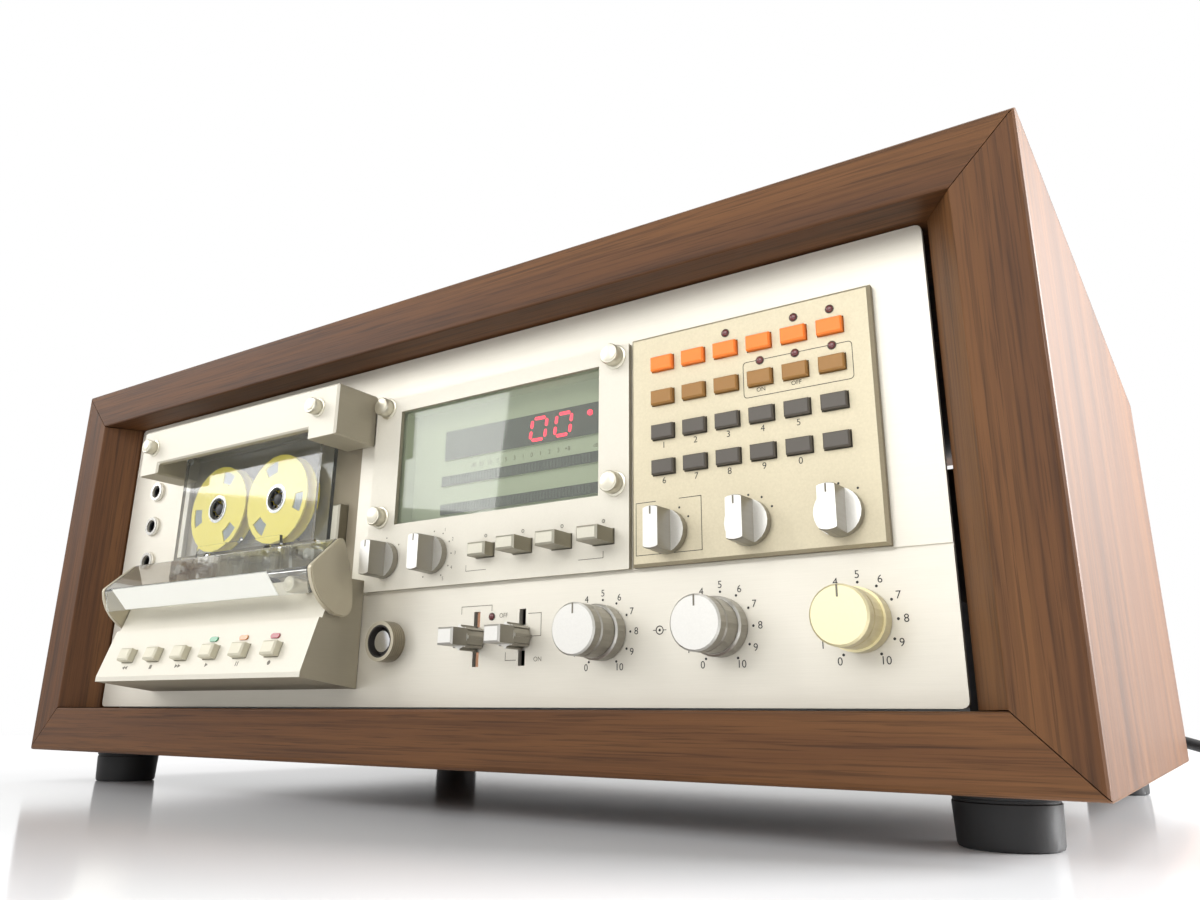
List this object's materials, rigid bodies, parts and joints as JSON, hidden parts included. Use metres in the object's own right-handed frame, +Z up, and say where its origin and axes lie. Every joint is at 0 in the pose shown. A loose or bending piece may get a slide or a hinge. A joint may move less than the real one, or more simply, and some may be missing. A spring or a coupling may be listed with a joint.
{
  "type": "cassette deck",
  "caption": "Free-standing tape deck in a wooden cabinet: front cassette bay with push-button transport, display window, key field, level knobs and a mains cord.",
  "frame": {"origin": "on the floor, under the middle of the deck without its cord", "axes": "+X to the right as the front is seen, +Y to the rear, +Z up; the front faces -Y"},
  "size_m": [0.6201, 0.4431, 0.2001],
  "materials": {
    "walnut": "oiled, straight grain",
    "black_rubber": "matt",
    "front_panel": "brushed, champagne",
    "cream_plate": "satin",
    "program_plate": "satin, light gold",
    "taupe_plate": "satin",
    "steel": "bright",
    "circuit_board": "satin",
    "brass": "turned",
    "chrome": "polished",
    "cream_key": "satin",
    "clear_cover": "clear",
    "smoked_window": "smoked",
    "display": "satin",
    "dark_keys": "satin",
    "orange_keys": "satin",
    "silver_knob": "satin",
    "cream_knob": "satin",
    "yellow_reel": "satin",
    "black_cord": "satin"
  },
  "bodies": {
    "root": {"bay_bridge": "cream_plate", "cabinet_bottom": "walnut", "cabinet_left_side": "walnut", "cabinet_right_side": "walnut", "cabinet_top": "walnut", "capstan_motor": "steel", "cassette_shell": "clear_cover", "chassis_tray": "steel", "cord_coil": "black_cord", "display_bezel": "cream_plate", "display_unit": "display", "display_window": "smoked_window", "drive_belt": "black_rubber", "foot_front_left": "black_rubber", "foot_front_right": "black_rubber", "foot_rear_left": "black_rubber", "foot_rear_right": "black_rubber", "front_panel": "front_panel", "main_board": "circuit_board", "mains_cord": "black_cord", "mains_plug": "black_cord", "power_transformer": "steel", "program_panel": "program_plate", "strain_relief": "black_cord", "transport_chassis": "taupe_plate", "transport_housing": "cream_plate"},
    "button_rewind": {"button_rewind": "cream_key"},
    "button_stop": {"button_stop": "cream_key"},
    "button_fast_forward": {"button_fast_forward": "cream_key"},
    "button_play": {"button_play": "cream_key"},
    "button_pause": {"button_pause": "cream_key"},
    "button_record": {"button_record": "cream_key"},
    "keypad_digits": {"keypad_digits": "dark_keys"},
    "keypad_functions": {"keypad_functions": "orange_keys"},
    "rec_mute_button": {"rec_mute_button": "chrome"},
    "power_button": {"power_button": "cream_key"},
    "tape_selector_1": {"tape_selector_1": "cream_key"},
    "tape_selector_2": {"tape_selector_2": "cream_key"},
    "tape_selector_3": {"tape_selector_3": "cream_key"},
    "tape_selector_4": {"tape_selector_4": "cream_key"},
    "timer_lever": {"timer_lever": "silver_knob"},
    "filter_lever": {"filter_lever": "silver_knob"},
    "speed_knob": {"speed_knob": "silver_knob"},
    "bias_knob": {"bias_knob": "silver_knob"},
    "memory_knob": {"memory_knob": "silver_knob"},
    "function_knob": {"function_knob": "silver_knob"},
    "mode_knob": {"mode_knob": "silver_knob"},
    "mic_front_knob": {"mic_front_knob": "silver_knob"},
    "mic_rear_knob": {"mic_rear_knob": "silver_knob"},
    "line_front_knob": {"line_front_knob": "silver_knob"},
    "line_rear_knob": {"line_rear_knob": "silver_knob"},
    "output_knob": {"output_knob": "cream_knob"},
    "head_cover": {"head_cover": "clear_cover"},
    "head_block": {"head_block": "steel"},
    "pinch_roller": {"pinch_roller": "black_rubber"},
    "capstan_flywheel": {"capstan_flywheel": "brass"},
    "left_spindle": {"left_spindle": "chrome", "supply_reel": "yellow_reel"},
    "right_spindle": {"right_spindle": "chrome", "takeup_reel": "yellow_reel"}
  },
  "joints": [
    {"name": "rewind_press", "type": "slide", "parent": "root", "child": "button_rewind", "axis": [0, 0.9505, -0.3107], "range_m": [0, 0.0025], "stiffness_N_per_m": 300},
    {"name": "stop_press", "type": "slide", "parent": "root", "child": "button_stop", "axis": [0, 0.9505, -0.3107], "range_m": [0, 0.0025], "stiffness_N_per_m": 300},
    {"name": "fast_forward_press", "type": "slide", "parent": "root", "child": "button_fast_forward", "axis": [0, 0.9505, -0.3107], "range_m": [0, 0.0025], "stiffness_N_per_m": 300},
    {"name": "play_press", "type": "slide", "parent": "root", "child": "button_play", "axis": [0, 0.9505, -0.3107], "range_m": [0, 0.0025], "stiffness_N_per_m": 300},
    {"name": "pause_press", "type": "slide", "parent": "root", "child": "button_pause", "axis": [0, 0.9505, -0.3107], "range_m": [0, 0.0025], "stiffness_N_per_m": 300},
    {"name": "record_press", "type": "slide", "parent": "root", "child": "button_record", "axis": [0, 0.9505, -0.3107], "range_m": [0, 0.0025], "stiffness_N_per_m": 300},
    {"name": "keypad_digits_press", "type": "slide", "parent": "root", "child": "keypad_digits", "axis": [0, 1, 0], "range_m": [0, 0.0008], "stiffness_N_per_m": 600},
    {"name": "keypad_functions_press", "type": "slide", "parent": "root", "child": "keypad_functions", "axis": [0, 1, 0], "range_m": [0, 0.0008], "stiffness_N_per_m": 600},
    {"name": "rec_mute_press", "type": "slide", "parent": "root", "child": "rec_mute_button", "axis": [0, 1, 0], "range_m": [0, 0.002], "stiffness_N_per_m": 300},
    {"name": "power_press", "type": "slide", "parent": "root", "child": "power_button", "axis": [0, 1, 0], "range_m": [0, 0.003], "stiffness_N_per_m": 300},
    {"name": "tape_selector_1_press", "type": "slide", "parent": "root", "child": "tape_selector_1", "axis": [0, 1, 0], "range_m": [-0.005, 0]},
    {"name": "tape_selector_2_press", "type": "slide", "parent": "root", "child": "tape_selector_2", "axis": [0, 1, 0], "range_m": [0, 0.005]},
    {"name": "tape_selector_3_press", "type": "slide", "parent": "root", "child": "tape_selector_3", "axis": [0, 1, 0], "range_m": [0, 0.005]},
    {"name": "tape_selector_4_press", "type": "slide", "parent": "root", "child": "tape_selector_4", "axis": [0, 1, 0], "range_m": [0, 0.005]},
    {"name": "timer_switch", "type": "slide", "parent": "root", "child": "timer_lever", "axis": [0, 0, 1], "range_m": [-0.006, 0.006]},
    {"name": "filter_switch", "type": "slide", "parent": "root", "child": "filter_lever", "axis": [0, 0, 1], "range_m": [-0.006, 0.006]},
    {"name": "speed_knob_turn", "type": "hinge", "parent": "root", "child": "speed_knob", "pos_m": [-0.01295, -0.1388, 0.0925], "axis": [0, 1, 0], "range_deg": [-25, 25]},
    {"name": "bias_knob_turn", "type": "hinge", "parent": "root", "child": "bias_knob", "pos_m": [0.01325, -0.1388, 0.0925], "axis": [0, 1, 0], "range_deg": [-150, 150]},
    {"name": "memory_knob_turn", "type": "hinge", "parent": "root", "child": "memory_knob", "pos_m": [0.119, -0.1401, 0.091], "axis": [0, 1, 0], "range_deg": [-60, 60]},
    {"name": "function_knob_turn", "type": "hinge", "parent": "root", "child": "function_knob", "pos_m": [0.1483, -0.1401, 0.091], "axis": [0, 1, 0], "range_deg": [-60, 60]},
    {"name": "mode_knob_turn", "type": "hinge", "parent": "root", "child": "mode_knob", "pos_m": [0.1776, -0.1401, 0.091], "axis": [0, 1, 0], "range_deg": [-30, 30]},
    {"name": "mic_front_knob_turn", "type": "hinge", "parent": "root", "child": "mic_front_knob", "pos_m": [0.0915, -0.1368, 0.0598], "axis": [0, 1, 0], "range_deg": [-150, 150]},
    {"name": "mic_rear_knob_turn", "type": "hinge", "parent": "root", "child": "mic_rear_knob", "pos_m": [0.0915, -0.1368, 0.0598], "axis": [0, 1, 0], "range_deg": [-150, 150]},
    {"name": "line_front_knob_turn", "type": "hinge", "parent": "root", "child": "line_front_knob", "pos_m": [0.1358, -0.1368, 0.0598], "axis": [0, 1, 0], "range_deg": [-150, 150]},
    {"name": "line_rear_knob_turn", "type": "hinge", "parent": "root", "child": "line_rear_knob", "pos_m": [0.1358, -0.1368, 0.0598], "axis": [0, 1, 0], "range_deg": [-150, 150]},
    {"name": "output_knob_turn", "type": "hinge", "parent": "root", "child": "output_knob", "pos_m": [0.1801, -0.1368, 0.0598], "axis": [0, 1, 0], "range_deg": [-150, 150]},
    {"name": "head_cover_tilt", "type": "hinge", "parent": "root", "child": "head_cover", "pos_m": [0, -0.1488, 0.0745], "axis": [1, 0, 0], "range_deg": [0, 40]},
    {"name": "head_block_lift", "type": "slide", "parent": "root", "child": "head_block", "axis": [0, 0, 1], "range_m": [0, 0.0088]},
    {"name": "pinch_roller_spin", "type": "hinge", "parent": "head_block", "child": "pinch_roller", "pos_m": [-0.0787, -0.14515, 0.0849], "axis": [0, 1, 0], "continuous": true},
    {"name": "capstan_spin", "type": "hinge", "parent": "root", "child": "capstan_flywheel", "pos_m": [-0.0787, -0.1368, 0.1008], "axis": [0, 1, 0], "continuous": true},
    {"name": "left_spindle_spin", "type": "hinge", "parent": "root", "child": "left_spindle", "pos_m": [-0.12175, -0.1368, 0.125], "axis": [0, 1, 0], "continuous": true},
    {"name": "right_spindle_spin", "type": "hinge", "parent": "root", "child": "right_spindle", "pos_m": [-0.07925, -0.1368, 0.125], "axis": [0, 1, 0], "continuous": true}
  ],
  "couplings": [
    {"joint": "pinch_roller_spin", "follows": "capstan_spin", "ratio": -0.23077},
    {"joint": "right_spindle_spin", "follows": "left_spindle_spin", "ratio": 1}
  ]
}
